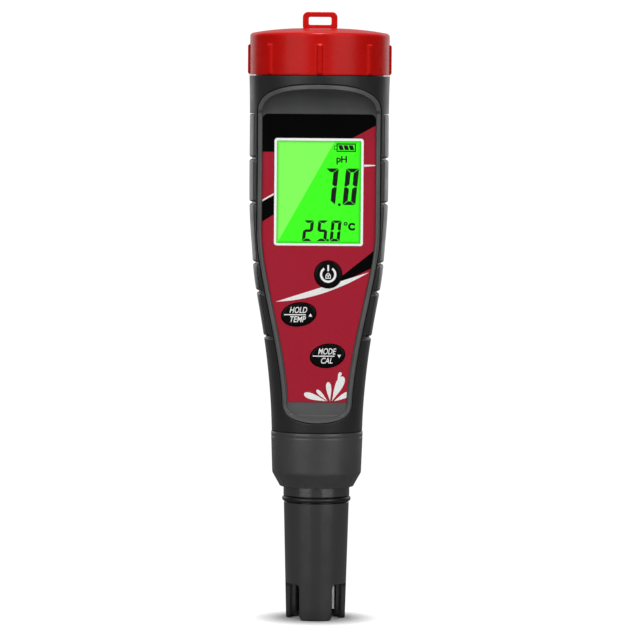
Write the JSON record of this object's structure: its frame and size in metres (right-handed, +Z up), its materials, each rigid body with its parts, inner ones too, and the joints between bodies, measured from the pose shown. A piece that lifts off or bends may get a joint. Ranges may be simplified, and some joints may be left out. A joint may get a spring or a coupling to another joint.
{
  "type": "pen ph meter",
  "caption": "Pen-type pH meter standing on its probe: red screw cap with lanyard loop, tapered grip body, display, keys and a plug-in electrode.",
  "frame": {"origin": "centre of the object's footprint, on the floor that the probe's prongs stand on", "axes": "+Z up along the tube from the probe to the battery cap, -Y towards the user (display and keys), +X to the user's right"},
  "size_m": [0.0404, 0.0404, 0.1702],
  "materials": {
    "case_plastic": "fine satin moulded ABS",
    "grip_rubber": "matte soft-touch overmould",
    "cap_plastic": "satin red moulded ABS",
    "inner_plastic": "matte",
    "white_plastic": "matte",
    "label_film": "printed polyester film, lightly textured",
    "key_rubber": "smooth silicone with printed legends",
    "clear_window": "polished",
    "lcd": "backlit display",
    "circuit_board": "solder mask",
    "chip_epoxy": "moulded epoxy",
    "seal_rubber": "nitrile rubber",
    "cell_jacket": "shrink-wrapped cell",
    "plated_steel": "nickel plated",
    "contact_brass": "bright",
    "ribbon_copper": "polyimide ribbon",
    "electrode_glass": "polished"
  },
  "bodies": {
    "meter_body": {"housing": "case_plastic", "front_cover": "case_plastic", "cover_gasket": "seal_rubber", "side_grip_right": "grip_rubber", "side_grip_left": "grip_rubber", "label": "label_film", "display_window": "clear_window", "lcd_glass": "lcd", "lcd_backlight": "white_plastic", "lcd_connector_strip": "seal_rubber", "lcd_holder": "white_plastic", "main_board": "circuit_board", "microcontroller": "chip_epoxy", "amplifier_chip": "chip_epoxy", "sensor_ribbon": "ribbon_copper", "board_screw_1": "plated_steel", "board_screw_2": "plated_steel", "board_screw_3": "plated_steel", "board_screw_4": "plated_steel", "power_switch": "chip_epoxy", "hold_switch": "chip_epoxy", "mode_switch": "chip_epoxy", "battery_cage": "inner_plastic", "cell_left": "cell_jacket", "cell_right": "cell_jacket", "cell_contact_left": "plated_steel", "cell_contact_right": "plated_steel", "cell_spring": "plated_steel", "electrode_socket": "chip_epoxy"},
    "power_button": {"power_key": "key_rubber", "power_plunger": "contact_brass"},
    "hold_button": {"hold_key": "key_rubber", "hold_plunger": "contact_brass"},
    "mode_button": {"mode_key": "key_rubber", "mode_plunger": "contact_brass"},
    "cap_seal": {"cap_gasket": "seal_rubber"},
    "cap_contacts": {"contact_disc": "inner_plastic", "cap_contact": "contact_brass", "cap_spring": "plated_steel"},
    "cap": {"battery_cap": "cap_plastic"},
    "electrode": {"electrode_sleeve": "case_plastic", "sleeve_oring": "seal_rubber", "spigot_oring": "seal_rubber", "glass_electrode": "electrode_glass", "silver_wire": "plated_steel", "reference_junction": "white_plastic", "temperature_sensor": "plated_steel", "electrode_plug": "chip_epoxy", "plug_pins": "contact_brass"},
    "collar_slider": {"collar_washer": "white_plastic"},
    "collar": {"electrode_collar": "case_plastic"}
  },
  "joints": [
    {"name": "power_press", "type": "slide", "parent": "meter_body", "child": "power_button", "axis": [0, 1, 0], "range_m": [0, 0.0006], "stiffness_N_per_m": 300, "springref_m": -0.001},
    {"name": "hold_press", "type": "slide", "parent": "meter_body", "child": "hold_button", "axis": [0, 1, 0], "range_m": [0, 0.0006], "stiffness_N_per_m": 300, "springref_m": -0.001},
    {"name": "mode_press", "type": "slide", "parent": "meter_body", "child": "mode_button", "axis": [0, 1, 0], "range_m": [0, 0.0006], "stiffness_N_per_m": 300, "springref_m": -0.001},
    {"name": "cap_lift", "type": "slide", "parent": "meter_body", "child": "cap_seal", "axis": [0, 0, 1], "range_m": [0, 0.024]},
    {"name": "cap_rise", "type": "slide", "parent": "cap_seal", "child": "cap_contacts", "axis": [0, 0, 1], "range_m": [0, 0.0045]},
    {"name": "cap_turn", "type": "hinge", "parent": "cap_contacts", "child": "cap", "pos_m": [0, 0, 0.1577], "axis": [0, 0, 1], "range_deg": [0, 540]},
    {"name": "electrode_unplug", "type": "slide", "parent": "electrode", "child": "meter_body", "axis": [0, 0, 1], "range_m": [0, 0.022]},
    {"name": "collar_slip", "type": "slide", "parent": "electrode", "child": "collar_slider", "axis": [0, 0, -1], "range_m": [0, 0.002]},
    {"name": "collar_turn", "type": "hinge", "parent": "collar_slider", "child": "collar", "pos_m": [0, 0, 0.0451], "axis": [0, 0, -1], "range_deg": [0, 360]}
  ],
  "couplings": [
    {"joint": "cap_rise", "follows": "cap_turn", "m_per_rad": 0.00047746},
    {"joint": "collar_slip", "follows": "collar_turn", "m_per_rad": 0.00031831}
  ]
}
